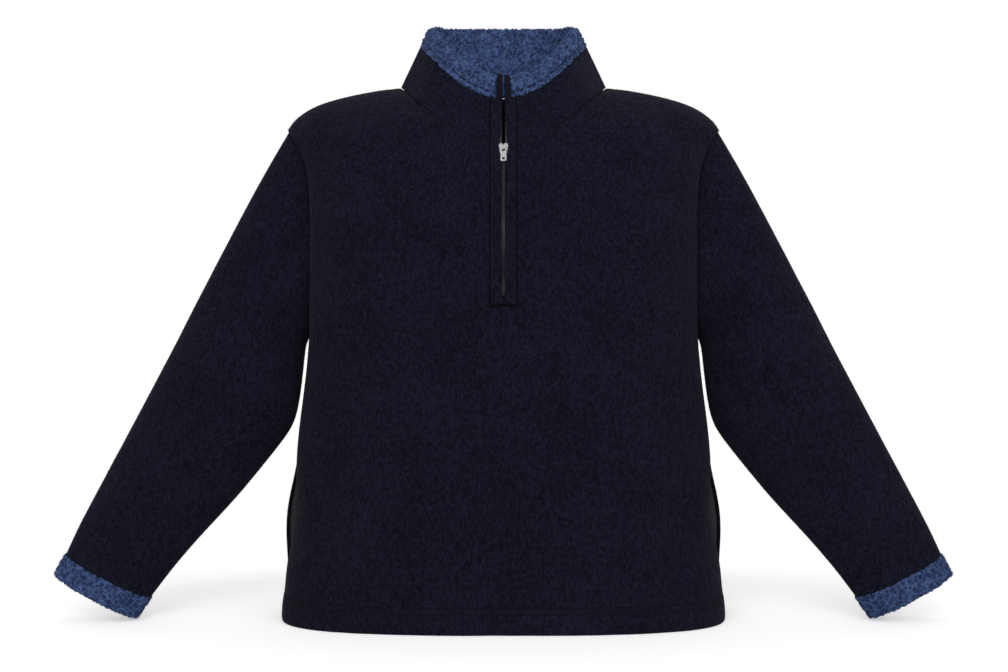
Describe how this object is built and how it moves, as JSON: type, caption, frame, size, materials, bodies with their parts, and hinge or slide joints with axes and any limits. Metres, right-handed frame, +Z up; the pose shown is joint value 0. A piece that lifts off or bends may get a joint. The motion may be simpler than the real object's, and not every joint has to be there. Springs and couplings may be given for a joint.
{
  "type": "quarter-zip fleece pullover",
  "caption": "Hollow worn-form fleece pullover with a stand collar, quarter zip with a turning pull tab, curly fleece collar lining and cuff bands, and in-seam pockets.",
  "frame": {"origin": "middle of the line where the neck meets the shoulders, which is where the wearer carries it", "axes": "+Z up, the front faces -Y, the wearer's left is +X"},
  "size_m": [1.0572, 0.193, 0.714],
  "materials": {
    "fleece": "brushed navy fleece, matt, fine short nap",
    "sherpa": "mid-blue curly sherpa fleece, matt, deep curls",
    "zip_tape": "woven dark tape with moulded teeth",
    "zip_metal": "bright cast zip slider and pull",
    "pocketing": "smooth black pocket cloth"
  },
  "bodies": {
    "garment": {"front": "fleece", "back": "fleece", "sleeve_left": "fleece", "sleeve_right": "fleece", "collar": "fleece", "placket_left": "fleece", "placket_right": "fleece", "collar_lining": "sherpa", "cuff_left": "sherpa", "cuff_right": "sherpa", "zip_tape_left": "zip_tape", "zip_tape_right": "zip_tape", "zip_slider": "zip_metal", "pocket_left": "pocketing", "pocket_right": "pocketing"},
    "pull": {"zip_pull": "zip_metal"}
  },
  "joints": [
    {"name": "pull_hinge", "type": "hinge", "parent": "garment", "child": "pull", "pos_m": [0, -0.08278, -0.08556], "axis": [-1, 0, 0], "range_deg": [0, 165]}
  ]
}
